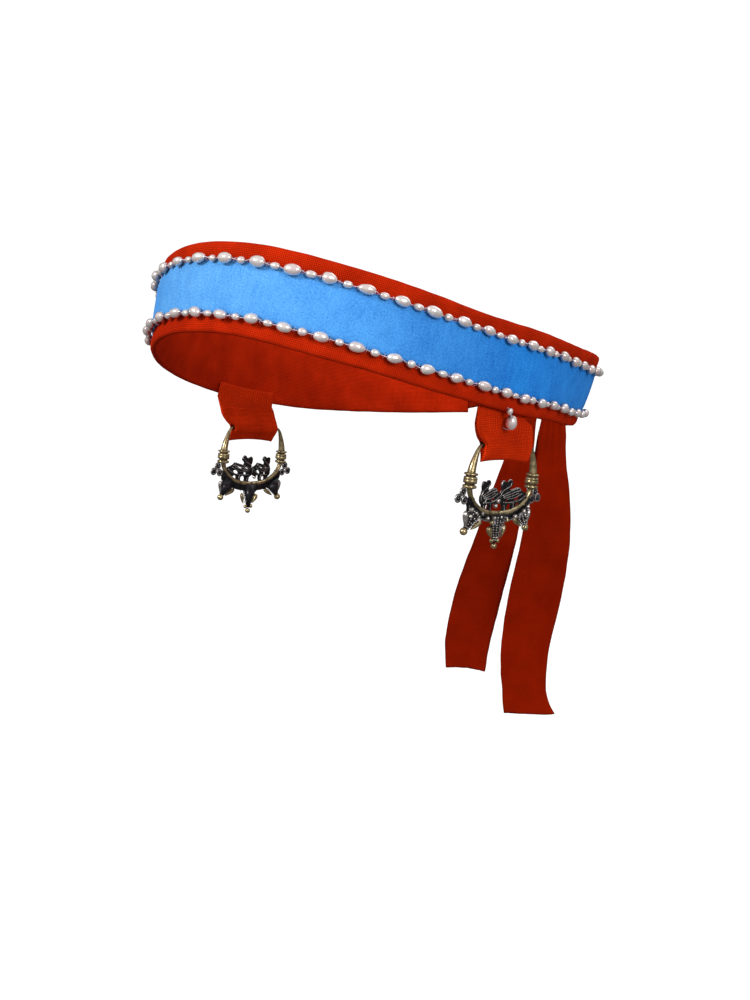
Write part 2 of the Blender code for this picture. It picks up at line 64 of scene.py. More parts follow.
# Each light's name, place and size in metres, power in watts and colour
LIGHTS = (
    ("key_light", (-0.3, -1.15, 0.8), 0.4, 13.3, (1.0, 0.98, 0.96)),
    ("side_light", (1.15, -0.4, 0.5), 0.5, 8, (1.0, 0.99, 0.98)),
    ("back_light", (0.1, 1.0, 0.8), 0.9, 4, (1.0, 1.0, 1.0)),
)
WORLD_STRENGTH = 0.46
FLOOR_HEIGHT = -0.30
PAPER_SIZE = 3.0
PAPER_RISE = 4.2
PAPER_GREY = (0.16, 0.16, 0.16, 1.0)
WHITE = (1.0, 1.0, 1.0, 1.0)


def place_piece(name, data):
    """A new object in the scene, for a mesh, a light or a camera."""
    made = bpy.data.objects.new(name, data)
    bpy.context.scene.collection.objects.link(made)
    return made


def shaped_piece(name, shape, smooth=False):
    """The piece that a bmesh becomes, with all its faces smooth or as they are."""
    mesh = bpy.data.meshes.new(name)
    if smooth:
        for face in shape.faces:
            face.smooth = True
    shape.to_mesh(mesh)
    shape.free()
    return place_piece(name, mesh)


def new_finish(name, sockets):
    """A material, its tree and its shader, whose own sockets are set by name."""
    made = bpy.data.materials.new(name)
    made.use_nodes = True
    shader = made.node_tree.nodes["Principled BSDF"]
    for socket, value in sockets.items():
        shader.inputs[socket].default_value = value
    return made, made.node_tree, shader


lens = bpy.data.cameras.new("view")
lens.sensor_fit = "VERTICAL"
lens.sensor_height = SENSOR_HEIGHT
lens.lens = FOCAL_LENGTH
lens.clip_start = 0.01
camera = place_piece("view", lens)
camera.matrix_world = Matrix((VIEW_RIGHT, VIEW_UP, VIEW_BACK)).transposed().to_4x4()
camera.location = VIEW_PLACE
bpy.context.scene.camera = camera
bpy.context.scene.view_settings.view_transform = "Standard"

for name, place, size, power, colour in LIGHTS:
    lamp = bpy.data.lights.new(name, "AREA")
    lamp.size = size
    lamp.energy = power
    lamp.color = colour
    light = place_piece(name, lamp)
    light.location = place
    light.rotation_euler = (-Vector(place)).to_track_quat("-Z", "Y").to_euler()

studio = bpy.data.worlds.new("studio")
studio.use_nodes = True
studio.node_tree.nodes["Background"].inputs["Color"].default_value = WHITE
studio.node_tree.nodes["Background"].inputs["Strength"].default_value = WORLD_STRENGTH
bpy.context.scene.world = studio

sweep = bmesh.new()
bmesh.ops.create_grid(sweep, x_segments=1, y_segments=40, size=PAPER_SIZE)
for vertex in sweep.verts:
    rise = max(0.0, vertex.co.y / PAPER_SIZE) ** 3 * PAPER_RISE
    vertex.co = Vector((vertex.co.x, vertex.co.y * 0.8 + 1.2, FLOOR_HEIGHT + rise))
facing_view = Matrix.Rotation(math.atan2(-VIEW_BACK.y, -VIEW_BACK.x) - math.pi / 2, 4, "Z")
bmesh.ops.transform(sweep, matrix=facing_view, verts=sweep.verts)
backdrop = shaped_piece("backdrop", sweep, smooth=True)
# The camera alone sees the paper glow, so that it is white and throws no light on the metal
paper, paper_tree, paper_shader = new_finish(
    "pale_paper", {"Base Color": PAPER_GREY, "Roughness": 0.9, "Emission Color": WHITE}
)
seen_by = paper_tree.nodes.new("ShaderNodeLightPath")
paper_tree.links.new(seen_by.outputs["Is Camera Ray"], paper_shader.inputs["Emission Strength"])
backdrop.data.materials.append(paper)

# The headband. Red linen folded over a soft inlay, turned under at both edges and pressed flat
# where the pearls are sewn down. It runs round the head and is open behind, between the ties.

MEAN_RADIUS = 83.4 * MM
RADIUS_WAVES = {1: -0.021, 2: 0.157, 3: -0.054, 4: 0.017, 5: -0.012, 6: 0.001}
RISE_WAVES = {1: 28.2 * MM, 2: 5.1 * MM, 3: 2.5 * MM, 4: 0.3 * MM}
SIDE_RISE = 5.3 * MM
LEAN_WAVES = {0: math.radians(2.8), 1: math.radians(-18.9), 2: math.radians(-1.5)}
BAND_HEIGHT = 31 * MM
BAND_HALF_LENGTH = 252 * MM
LOWER_PEARLS = 6.2 * MM
UPPER_PEARLS = 24.7 * MM


def waves(table, angle):
    return sum(size * math.cos(order * angle) for order, size in table.items())


def lower_edge(angle):
    """The middle of the band's wall at its lower edge, at an angle from the face."""
    radius = MEAN_RADIUS * (1 + waves(RADIUS_WAVES, angle))
    height = waves(RISE_WAVES, angle) + SIDE_RISE * math.sin(angle) - BAND_HEIGHT / 2
    return Vector((radius * math.sin(angle), -radius * math.cos(angle), height))


@functools.lru_cache(maxsize=None)
def directions(angle):
    """The band's lower edge at an angle, and the directions along, up and out of its face."""
    step = 1e-3
    along = (lower_edge(angle + step) - lower_edge(angle - step)).normalized()
    up = (Vector((0, 0, 1)) - along.z * along).normalized()
    out = along.cross(up)
    lean = waves(LEAN_WAVES, angle)
    up_face = up * math.cos(lean) + out * math.sin(lean)
    outward = out * math.cos(lean) - up * math.sin(lean)
    return lower_edge(angle), along, up_face, outward


def at_angle(angle, up, out):
    start, _, up_face, outward = directions(angle)
    return start + up_face * up + outward * out


arc_angles = np.linspace(0, math.pi, 721)
middle_line = np.array([at_angle(angle, BAND_HEIGHT / 2, 0) for angle in arc_angles])
arc_lengths = np.concatenate([[0], np.cumsum(np.linalg.norm(np.diff(middle_line, axis=0), axis=1))])
HALF_ROUND = float(arc_lengths[-1])


def angle_at(arc):
    """The angle at a length along the band, positive to the wearer's left, also past the back."""
    side = math.copysign(1, arc)
    if abs(arc) > HALF_ROUND:
        return side * (2 * math.pi - float(np.interp(2 * HALF_ROUND - abs(arc), arc_lengths, arc_angles)))
    return side * float(np.interp(abs(arc), arc_lengths, arc_angles))


def on_band(arc, up, out):
    return at_angle(angle_at(arc), up, out)


CURVE_PARTS = 12


def rounded(rows, count, closed=True):
    """Evenly spaced points on the smooth line through a few points."""
    points = [Vector(row) for row in rows]
    last = len(points)
    fine = []
    for number in range(last if closed else last - 1):
        if closed:
            before, here, after, beyond = (points[(number + k) % last] for k in (-1, 0, 1, 2))
        else:
            before, here = points[max(number - 1, 0)], points[number]
            after, beyond = points[number + 1], points[min(number + 2, last - 1)]
        for step in range(CURVE_PARTS):
            t = step / CURVE_PARTS
            curve = 2 * here + (after - before) * t + (2 * before - 5 * here + 4 * after - beyond) * t**2
            fine.append((curve + (3 * here - before - 3 * after + beyond) * t**3) / 2)
    fine.append(points[0] if closed else points[-1])
    steps = [0.0]
    for first, second in zip(fine, fine[1:]):
        steps.append(steps[-1] + (second - first).length)
    wanted = np.linspace(0, steps[-1], count + 1 if closed else count)
    lined = [np.interp(wanted, steps, [point[axis] for point in fine]) for axis in range(len(points[0]))]
    made = [Vector(point) for point in zip(*lined)]
    return made[:-1] if closed else made


def lengths_along(points):
    """How far each point of a line is from its first, along the line."""
    steps = [(second - first).length for first, second in zip(points, points[1:])]
    return np.concatenate([[0], np.cumsum(steps)])


def cloth_round(name, steps, turns, place_there, cap=True, threads_apart=1.0):
    """A closed strip of cloth from a grid: x runs along it and y round its wall.

    Its map is in metres of cloth, and the threads that cross it may lie further apart."""
    shape = bmesh.new()
    weave_map = shape.loops.layers.uv.verify()
    bmesh.ops.create_grid(shape, x_segments=steps, y_segments=turns, size=0.5, calc_uvs=True)
    lengthwise = lengths_along([place_there(step / steps, 0) for step in range(steps + 1)]) / threads_apart
    roundwise = lengths_along([place_there(0.5, turn % turns) for turn in range(turns + 1)])
    for face in shape.faces:
        face.smooth = True
        for loop in face.loops:
            along, place_round = loop[weave_map].uv
            loop[weave_map].uv = (lengthwise[round(along * steps)], roundwise[round(place_round * turns)])
    for vertex in shape.verts:
        vertex.co = place_there(vertex.co.x + 0.5, round((vertex.co.y + 0.5) * turns) % turns)
    bmesh.ops.remove_doubles(shape, verts=shape.verts, dist=0.0005 * MM)
    if cap:
        bmesh.ops.holes_fill(shape, edges=[e for e in shape.edges if e.is_boundary], sides=0)
    bmesh.ops.recalc_face_normals(shape, faces=shape.faces)
    return shaped_piece(name, shape)


# Up the face and out of it, in mm, round the band's wall
BAND_SECTION = (
    (0.0, 0.0), (0.5, 1.0), (2.2, 1.35), (4.4, 1.15), (6.2, 0.75), (8.0, 0.95), (12.0, 1.0), (15.5, 1.0),
    (19.0, 1.0), (23.0, 0.95), (24.7, 0.75), (26.4, 1.15), (28.8, 1.35), (30.5, 1.0), (31.0, 0.0),
    (30.3, -0.95), (27.0, -1.0), (21.0, -1.0), (15.5, -1.0), (10.0, -1.0), (4.0, -1.0), (0.7, -0.95),
)
# The size in mm, the grain in metres and the seed of its swellings and of its edges' wandering
BAND_SWELLINGS = ((0.22, 16 * MM, 3.1), (0.10, 4.5 * MM, 8.4))
EDGE_WANDERINGS = ((0.35, 30 * MM, 5.0), (0.12, 7 * MM, 2.0))
BAND_TURNS = 72
BAND_STEPS = 420
band_wall = rounded(BAND_SECTION, BAND_TURNS)


def unevenness(arc, up, grain, seed):
    """A soft bump of hand-sewn cloth, from -1 to 1, at a grain in metres."""
    return noise.noise(Vector((arc / grain, up / grain, seed)))


def band_cloth(along, place_round):
    arc = (2 * along - 1) * BAND_HALF_LENGTH
    up, out = band_wall[place_round] * MM
    edge = abs(up / BAND_HEIGHT - 0.5) * 2
    if out > 0:
        out += sum(size * MM * unevenness(arc, up, grain, seed) for size, grain, seed in BAND_SWELLINGS)
    side = math.copysign(1, up - BAND_HEIGHT / 2)
    wander = sum(size * unevenness(arc, 0, grain, seed + side) for size, grain, seed in EDGE_WANDERINGS)
    up += side * edge**3 * wander * MM
    return on_band(arc, up, out)


headband = cloth_round("headband_linen", BAND_STEPS, BAND_TURNS, band_cloth)


def feed(socket, value, tree):
    """Links a socket to an output, or sets it to a plain value."""
    if isinstance(value, bpy.types.NodeSocket):
        tree.links.new(value, socket)
    elif value is not None:
        socket.default_value = value


def add_node(tree, kind, *values, **settings):
    """A shader node with its settings, its inputs fed in their order."""
    made = tree.nodes.new("ShaderNode" + kind)
    for name, value in settings.items():
        setattr(made, name, value)
    for socket, value in zip(made.inputs, values):
        feed(socket, value, tree)
    return made


def count(tree, operation, *values):
    return add_node(tree, "Math", *values, operation=operation).outputs[0]


def spread(tree, value, low, high, to_low, to_high):
    return add_node(tree, "MapRange", value, low, high, to_low, to_high).outputs[0]


def blend_colours(tree, share, first, second):
    """A colour between two, by a share from 0 to 1."""
    made = tree.nodes.new("ShaderNodeMix")
    made.data_type = "RGBA"
    feed(made.inputs["Factor"], share, tree)
    feed(made.inputs["A"], (*first, 1.0) if isinstance(first, tuple) else first, tree)
    feed(made.inputs["B"], (*second, 1.0) if isinstance(second, tuple) else second, tree)
    return made.outputs["Result"]


def mottle(tree, place, scale, detail=2, output="Fac"):
    """Noise at a scale for each metre."""
    made = add_node(tree, "TexNoise", place)
    made.inputs["Scale"].default_value = scale
    made.inputs["Detail"].default_value = detail
    return made.outputs[output]


def raise_skin(tree, shader, height, strength, distance):
    """Fine relief on a material, from a height between 0 and 1."""
    bump = add_node(tree, "Bump")
    bump.inputs["Strength"].default_value = strength
    bump.inputs["Distance"].default_value = distance
    tree.links.new(height, bump.inputs["Height"])
    tree.links.new(bump.outputs["Normal"], shader.inputs["Normal"])


def new_group(name, takes, gives):
    """A node group's tree, what it is given and what it results in, from its sockets' kinds."""
    tree = bpy.data.node_groups.new(name, "ShaderNodeTree")
    for side, sockets in (("INPUT", takes), ("OUTPUT", gives)):
        for socket, kind in sockets.items():
            tree.interface.new_socket(socket, in_out=side, socket_type="NodeSocket" + kind)
    return tree, tree.nodes.new("NodeGroupInput").outputs, tree.nodes.new("NodeGroupOutput").inputs


def use_group(tree, group, **values):
    """A group's outputs in a material, its inputs fed by name."""
    made = tree.nodes.new("ShaderNodeGroup")
    made.node_tree = group
    for name, value in values.items():
        feed(made.inputs[name], value, tree)
    return made.outputs


def plain_weave_group():
    """Threads that cross over and under: their height, and a tone that differs between threads."""
    tree, given, result = new_group(
        "plain_weave",
        {"Map": "Vector", "Threads": "Float", "Waver": "Float"},
        {"Height": "Float", "Tone": "Float"},
    )
    slub = mottle(tree, given["Map"], 260, output="Color")
    shifted = add_node(tree, "VectorMath", slub, (0.5, 0.5, 0.5), operation="SUBTRACT").outputs[0]
    scaled = add_node(tree, "VectorMath", shifted, operation="SCALE")
    tree.links.new(given["Waver"], scaled.inputs["Scale"])
    moved = add_node(tree, "VectorMath", given["Map"], scaled.outputs[0], operation="ADD").outputs[0]
    parts = add_node(tree, "SeparateXYZ", moved)
    lines = [count(tree, "MULTIPLY", parts.outputs[axis], given["Threads"]) for axis in (0, 1)]
    humps = [count(tree, "SINE", count(tree, "MULTIPLY", line, math.pi)) for line in lines]
    over = spread(tree, count(tree, "MULTIPLY", humps[0], humps[1]), -0.35, 0.35, 0.0, 1.0)
    warp = count(tree, "MULTIPLY", count(tree, "ABSOLUTE", humps[0]), spread(tree, over, 0, 1, 0.45, 1.0))
    weft = count(tree, "MULTIPLY", count(tree, "ABSOLUTE", humps[1]), spread(tree, over, 0, 1, 1.0, 0.45))
    tree.links.new(count(tree, "MAXIMUM", warp, weft), result["Height"])
    tones = []
    for line in lines:
        thread = add_node(tree, "TexWhiteNoise", noise_dimensions="1D")
        tree.links.new(count(tree, "FLOOR", line), thread.inputs["W"])
        tones.append(thread.outputs["Value"])
    first = count(tree, "MULTIPLY", tones[0], over)
    second = count(tree, "MULTIPLY", tones[1], count(tree, "SUBTRACT", 1.0, over))
    tree.links.new(count(tree, "ADD", first, second), result["Tone"])
    return tree


plain_weave = plain_weave_group()


def woven_cloth(name, light, dark, threads, depth, tone):
    """Cloth whose threads show: light on their backs and, as painted shade, dark between them; their tone
    also differs at random.
    """
    made, tree, shader = new_finish(name, {"Roughness": 0.9, "Specular IOR Level": 0.02})
    cloth_map = add_node(tree, "TexCoord").outputs["UV"]
    weave = use_group(tree, plain_weave, Map=cloth_map, Threads=threads, Waver=0.0004)
    cloud = mottle(tree, cloth_map, 90, 4)
    # Painted shade: the colour darkens where the weave lies low, between the threads.
    painted_hollow_shade = spread(tree, weave["Height"], 0.2, 1.0, -0.12, 0.7)
    toned = count(tree, "ADD", painted_hollow_shade, count(tree, "MULTIPLY", weave["Tone"], tone))
    share = count(tree, "ADD", toned, spread(tree, cloud, 0.3, 0.7, -0.1, 0.22))
    tree.links.new(blend_colours(tree, share, dark, light), shader.inputs["Base Color"])
    raise_skin(tree, shader, weave["Height"], 0.7, depth)
    return made


red_linen = woven_cloth(
    "red_linen", light=(0.77, 0.032, 0.003), dark=(0.21, 0.007, 0.001),
    threads=1600, depth=0.14 * MM, tone=0.06,
)
headband.data.materials.append(red_linen)
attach(headband, "headband")
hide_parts("headband")

# The blue stripe. Smooth napped cloth sewn on between the two pearl strings, a little fuller than
# its space, with its raw edges hidden under the pearls.

STRIPE_HALF_LENGTH = 245 * MM
STRIPE_SECTION = (
    (6.2, 1.0), (6.5, 1.5), (8.2, 1.95), (11.5, 2.15), (15.5, 2.2), (19.5, 2.15), (22.7, 1.95), (24.4, 1.5),
    (24.7, 1.0), (24.0, 1.1), (20.0, 1.35), (15.5, 1.4), (11.0, 1.35), (6.9, 1.1),
)
STRIPE_TURNS = 44
stripe_wall = rounded(STRIPE_SECTION, STRIPE_TURNS)
# Soft creases across the stripe: where they lie along the band, in mm, and how deep they are
STRIPE_CREASES = (
    (-52, 0.22), (-31, 0.3), (-8, 0.35), (9, 0.25), (33, 0.2), (70, 0.12), (104, 0.25), (118, 0.3),
)
CREASE_WIDTH = 1.8 * MM
STRIPE_SWELLING = 0.22 * MM
STRIPE_FACE = 1.42 * MM


def stripe_cloth(along, place_round):
    arc = (2 * along - 1) * STRIPE_HALF_LENGTH
    up, out = stripe_wall[place_round] * MM
    if out > STRIPE_FACE:
        fullness = 1 - (abs(up / MM - 15.45) / 9.25) ** 2
        out += fullness * STRIPE_SWELLING * unevenness(arc, up * 0.6, 14 * MM, 1.7)
        for middle, depth in STRIPE_CREASES:
            lean = 0.12 * math.sin(middle) * (up - BAND_HEIGHT / 2)
            away = (arc - middle * MM - lean) / CREASE_WIDTH
            out -= fullness * depth * MM * math.exp(-away * away)
    return on_band(arc, up, out)


stripe = cloth_round("blue_stripe_cloth", BAND_STEPS, STRIPE_TURNS, stripe_cloth)


def napped_blue():
    """Brushed blue cloth, with painted light and sheen that make it paler over the face than at the sides."""
    made, tree, shader = new_finish("napped_blue_cloth", {
        "Roughness": 0.7, "Specular IOR Level": 0.05,
        "Sheen Weight": 0.05, "Sheen Roughness": 0.45, "Sheen Tint": (0.55, 0.8, 1.0, 1.0),
    })
    cloth_map = add_node(tree, "TexCoord").outputs["UV"]
    nap = mottle(tree, cloth_map, 1700, 3)
    stretched = add_node(tree, "Mapping", cloth_map)
    stretched.inputs["Scale"].default_value = (1.0, 0.3, 1.0)
    streak = mottle(tree, stretched.outputs[0], 620)
    cloud = mottle(tree, cloth_map, 60, 3)
    weave = use_group(tree, plain_weave, Map=cloth_map, Threads=2600, Waver=0.0003)
    threads = count(tree, "MULTIPLY", weave["Height"], 0.2)
    grain = count(tree, "ADD", spread(tree, nap, 0.32, 0.68, -0.08, 0.58), threads)
    streaks = spread(tree, streak, 0.3, 0.7, -0.05, 0.2)
    soft = count(tree, "ADD", streaks, spread(tree, cloud, 0.3, 0.7, -0.05, 0.35))
    share = count(tree, "ADD", grain, soft)
    lengthwise = add_node(tree, "SeparateXYZ", cloth_map).outputs["X"]
    from_face = count(tree, "ABSOLUTE", count(tree, "SUBTRACT", lengthwise, STRIPE_HALF_LENGTH))
    # Painted light and sheen: from the face towards the sides the colours turn deeper and darker, as the
    # light on the front falls away.
    painted_light_falloff = spread(tree, from_face, 5 * MM, 130 * MM, 0.0, 1.0)
    deep = blend_colours(tree, painted_light_falloff, (0.038, 0.245, 0.70), (0.004, 0.115, 0.54))
    pale = blend_colours(tree, painted_light_falloff, (0.155, 0.475, 0.94), (0.032, 0.34, 0.99))
    tree.links.new(blend_colours(tree, share, deep, pale), shader.inputs["Base Color"])
    raise_skin(tree, shader, grain, 0.6, 0.16 * MM)
    return made


stripe.data.materials.append(napped_blue())
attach(stripe, "headband")
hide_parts("blue_stripe")

# The pearl strings. Oval freshwater pearls with a small one between each pair, threaded on a pale
# lilac thread that is caught down to the linen beside every pearl.

PEARL_PITCH = 11.84 * MM
PEARLS_EACH_WAY = 20
PEARL_OUT = 3.3 * MM
PEARL_HALF_LENGTH = 2.9 * MM
PEARL_RADIUS = 1.8 * MM
SMALL_PEARL_OUT = 2.75 * MM
SMALL_PEARL_HALF_LENGTH = 1.85 * MM
SMALL_PEARL_RADIUS = 1.25 * MM
PEARL_THREAD = 0.3 * MM
CATCH_THREAD = 0.2 * MM
# A catch stitch's way over the string: up the band and out of it, in mm
CATCH_STITCH = ((-0.8, 1.0), (-0.6, 2.0), (0.0, 2.9), (0.6, 2.0), (0.8, 1.0))
STRINGS = (
    {"name": "upper", "up": UPPER_PEARLS, "first": -0.7 * MM, "seed": 11},
    {"name": "lower", "up": LOWER_PEARLS, "first": 1.5 * MM, "seed": 29},
)


def grow_pearl(shape, place, along, out, half_length, radius, fineness, luck):
    """One pearl with its uneven, slightly ringed skin, its long axis on the thread."""
    skin = bmesh.ops.create_icosphere(shape, subdivisions=fineness, radius=1.0)["verts"]
    across = out.cross(along)
    egg = luck.uniform(-0.14, 0.14)
    flat = luck.uniform(0.90, 1.04)
    ring = luck.uniform(0.0, 6.0)
    for vertex in skin:
        x, y, z = vertex.co
        lump = 1 + 0.035 * noise.noise(vertex.co * 1.3 + Vector((ring, place.x * 900, place.z * 900)))
        width = radius * (1 + egg * x) * lump * (1 + 0.012 * math.sin(9 * x + ring))
        vertex.co = place + along * (x * half_length * lump) + out * (z * width) + across * (y * width * flat)
    for face in {face for vertex in skin for face in vertex.link_faces}:
        face.smooth = True


def string_pearls(name, up, first, seed):
    """The large pearls and the small ones between them, and the way of the thread through them."""
    luck = random.Random(seed)
    shape = bmesh.new()
    thread = []
    for number in range(-PEARLS_EACH_WAY, PEARLS_EACH_WAY + 1):
        arc = first + number * PEARL_PITCH + luck.uniform(-0.35, 0.35) * MM
        start, along, up_face, outward = directions(angle_at(arc))
        place = start + up_face * (up + luck.uniform(-0.25, 0.25) * MM) + outward * PEARL_OUT
        along = (along + up_face * luck.uniform(-0.14, 0.14)).normalized()
        outward = (outward - outward.dot(along) * along).normalized()
        half = PEARL_HALF_LENGTH * luck.uniform(0.88, 1.08)
        radius = PEARL_RADIUS * luck.uniform(0.93, 1.06)
        grow_pearl(shape, place, along, outward, half, radius, 4, luck)
        thread += [place - along * half, place + along * half]
        if number < PEARLS_EACH_WAY:
            start, along, up_face, outward = directions(angle_at(arc + PEARL_PITCH / 2))
            place = start + up_face * (up - 0.1 * MM) + outward * SMALL_PEARL_OUT
            half = SMALL_PEARL_HALF_LENGTH * luck.uniform(0.85, 1.12)
            radius = SMALL_PEARL_RADIUS * luck.uniform(0.9, 1.12)
            grow_pearl(shape, place, along, outward, half, radius, 3, luck)
            thread += [place - along * half, place + along * half]
    bmesh.ops.recalc_face_normals(shape, faces=shape.faces)
    return shaped_piece(name, shape), thread


def smooth_spline(line, places, closed):
    """A smooth line through places in a curve, and its points."""
    spline = line.splines.new("BEZIER")
    spline.bezier_points.add(len(places) - 1)
    spline.use_cyclic_u = closed
    for point, place in zip(spline.bezier_points, places):
        point.co = place
        point.handle_left_type = point.handle_right_type = "AUTO"
    return spline.bezier_points


def curve_mesh(line):
    holder = bpy.data.objects.new("curve", line)
    mesh = bpy.data.meshes.new_from_object(holder)
    bpy.data.objects.remove(holder)
    return mesh


def wire(path, thickness, closed=False, sides=2):
    """The mesh of a round wire or thread through places, with one thickness or one for each."""
    line = bpy.data.curves.new("wire", "CURVE")
    line.dimensions = "3D"
    line.bevel_depth = 1.0
    line.bevel_resolution = sides
    line.resolution_u = 5
    line.use_fill_caps = True
    for number, point in enumerate(smooth_spline(line, path, closed)):
        point.radius = (thickness if isinstance(thickness, float) else thickness[number]) / 2
    return curve_mesh(line)


def catch_stitches(shape, up, first):
    """Short loops of thread over the string, into the linen on both sides."""
    for number in range(-2 * PEARLS_EACH_WAY, 2 * PEARLS_EACH_WAY):
        arc = first + (number + 0.52) * PEARL_PITCH / 2
        loop = [on_band(arc + 0.15 * MM * rise, up + rise * MM, out * MM) for rise, out in CATCH_STITCH]
        shape.from_mesh(wire(loop, CATCH_THREAD, sides=1))


def openness(tree, reach, closed, opened, **settings):
    """A share from 0 in a recess to 1 in the open, felt over a reach in metres."""
    made = add_node(tree, "AmbientOcclusion", samples=6, **settings)
    made.inputs["Distance"].default_value = reach
    return spread(tree, made.outputs["AO"], closed, opened, 0.0, 1.0)


def pearl_finish():
    """Freshwater pearl: pink and cream by turns, lustrous, with painted shade where it meets the cloth."""
    made, tree, shader = new_finish("freshwater_pearl", {
        "Metallic": 0.5, "Coat Weight": 1.0, "Coat Roughness": 0.06, "Specular IOR Level": 0.7,
    })
    spot = add_node(tree, "TexCoord").outputs["Object"]
    skin = mottle(tree, spot, 520)
    share = spread(tree, mottle(tree, spot, 120, 1), 0.35, 0.65, 0, 1)
    lit = blend_colours(tree, share, (0.86, 0.80, 0.78), (0.88, 0.72, 0.70))
    # Painted shade: the colour turns dark red-brown in the hollows where a pearl meets the cloth, its thread
    # and its neighbours.
    shaded = blend_colours(tree, openness(tree, 3 * MM, 0.45, 1.0), (0.14, 0.09, 0.09), lit)
    tree.links.new(shaded, shader.inputs["Base Color"])
    tree.links.new(spread(tree, skin, 0.3, 0.7, 0.18, 0.3), shader.inputs["Roughness"])
    raise_skin(tree, shader, skin, 0.3, 0.2 * MM)
    return made


def lilac_thread():
    made, tree, shader = new_finish("lilac_thread", {"Roughness": 0.55})
    twist = mottle(tree, add_node(tree, "TexCoord").outputs["Object"], 2600)
    share = spread(tree, twist, 0.3, 0.7, 0, 1)
    colour = blend_colours(tree, share, (0.42, 0.32, 0.44), (0.80, 0.68, 0.80))
    tree.links.new(colour, shader.inputs["Base Color"])
    return made


pearl_skin = pearl_finish()
sewing_thread = lilac_thread()
for string in STRINGS:
    name, up, first = string["name"], string["up"], string["first"]
    pearls, thread_path = string_pearls(f"pearls_{name}", up, first, string["seed"])
    pearls.data.materials.append(pearl_skin)
    sewn = bmesh.new()
    sewn.from_mesh(wire(thread_path, PEARL_THREAD, sides=1))
    catch_stitches(sewn, up, first)
    thread = shaped_piece(f"pearl_thread_{name}", sewn, smooth=True)
    thread.data.materials.append(sewing_thread)
    for piece in (pearls, thread):
        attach(piece, "headband")
        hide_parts(f"pearl_string_{name}")

# The tabs. A piece of the same linen at each temple, doubled round the ring's wire and tucked
# behind the band, hemmed at its front edge. It leans forward at the top and bellies out behind.

joints = {joint["name"]: joint for joint in frame["joints"]}


def ring_frame(word):
    """Where a ring hangs: x along its wire, y into the head and z up the ring, in metres."""
    joint = joints[f"temple_ring_{word}_swing"]
    along = -Vector(joint["axis"]).normalized()
    into = Vector((0, 0, 1)).cross(along).normalized()
    if into.dot(Vector(joint["pos_m"])) > 0:
        into = -into
    made = Matrix((along, into, along.cross(into))).transposed().to_4x4()
    made.translation = Vector(joint["pos_m"])
    return made


# Height over the wire, front and back face, middle and half width of the tab's cloth, in mm
TAB_ROWS = (
    (-6.2, -1.0, -0.9, -1.8, 13.9), (-5.4, -1.7, -0.3, -1.5, 13.9), (-3.6, -2.1, 0.5, -1.0, 13.9),
    (-1.6, -2.2, 1.5, -0.6, 13.9), (0.4, -2.2, 1.7, -0.7, 14.1), (2.4, -2.2, 1.2, -2.2, 15.3),
    (5.2, -2.2, 0.3, -3.9, 16.3), (7.8, -2.3, 0.0, -4.9, 16.4),
)
TAB_ANGLE = math.radians(87.6)
TAB_UNDER_EDGE = 1.5 * MM
TAB_TUCK = 5 * MM
TAB_FORWARD = 6.5 * MM
TAB_TOP_HALF_WIDTH = 16 * MM
TAB_TOP_OUT = -2.06
TAB_TOP_HALF_WALL = 0.64
TAB_WIDTH = 29
TAB_HEM = 1.9
TAB_TUNNEL = 1.25 * MM
TAB_STEPS = 48
TAB_FINE = 22
TUCK_LEVELS = 5
EDGE_ROUND = 0.07


def clamped(value):
    """A value held between 0 and 1."""
    return max(0.0, min(1.0, value))


def tab_cloth(word, side):
    """The tab's wall: its front face from the tuck down to the fold, and its back face up again."""
    hang = ring_frame(word)
    middle_arc = side * (float(np.interp(TAB_ANGLE, arc_angles, arc_lengths)) - TAB_FORWARD)
    lower = rounded(TAB_ROWS, TAB_FINE, closed=False)
    turns = 2 * (TAB_FINE + TUCK_LEVELS)

    def place(along, place_round):
        share = math.sin((along - 0.5) * math.pi)
        front = place_round < turns // 2
        level = place_round if front else turns - 1 - place_round
        facing = 1 if front else -1
        edge = max(0.0, (abs(share) - 1) / EDGE_ROUND + 1)
        fold = math.sqrt(max(0.0, 1 - edge**2))
        if level < TUCK_LEVELS:
            up = TAB_TUCK - (TAB_TUCK + TAB_UNDER_EDGE) * level / (TUCK_LEVELS - 1)
            arc = middle_arc + share * TAB_TOP_HALF_WIDTH
            return on_band(arc, up, (TAB_TOP_OUT + facing * TAB_TOP_HALF_WALL * fold) * MM)
        height, face, back, middle, half = lower[TAB_FINE - 1 - (level - TUCK_LEVELS)]
        across = side * middle + share * half
        out = (face + back) / 2 + facing * (face - back) / 2 * fold
        height += 0.9 * (1 - share * share) * clamped((-1.5 - height) / 4)
        if front:
            out -= 0.2 * fold * clamped((-side * share - (1 - 2 * TAB_HEM / TAB_WIDTH)) * 40 + 1)
            out += 0.25 * fold * noise.noise(Vector((across / 6, height / 6, 4.0 + side)))
            dip = math.exp(-((share * side - 0.75) / 0.25) ** 2) * clamped(1 - abs(height - 3) / 6)
            out -= 0.35 * fold * dip
        return hang @ (Vector((across, out, height)) * MM)

    tab = cloth_round(f"tab_linen_{word}", TAB_STEPS, turns, place, cap=False, threads_apart=1.6)
    bore = bmesh.new()
    bmesh.ops.create_cone(
        bore, cap_ends=True, segments=24, radius1=TAB_TUNNEL, radius2=TAB_TUNNEL, depth=60 * MM,
        matrix=hang @ Matrix.Rotation(math.pi / 2, 4, "Y"),
    )
    tunnel = shaped_piece("tunnel", bore)
    cut = tab.modifiers.new("tunnel", "BOOLEAN")
    cut.operation = "DIFFERENCE"
    cut.object = tunnel
    bpy.context.view_layer.update()
    pierced = bpy.data.meshes.new_from_object(tab.evaluated_get(bpy.context.evaluated_depsgraph_get()))
    tab.modifiers.clear()
    tab.data = pierced
    bpy.data.objects.remove(tunnel)
    return tab


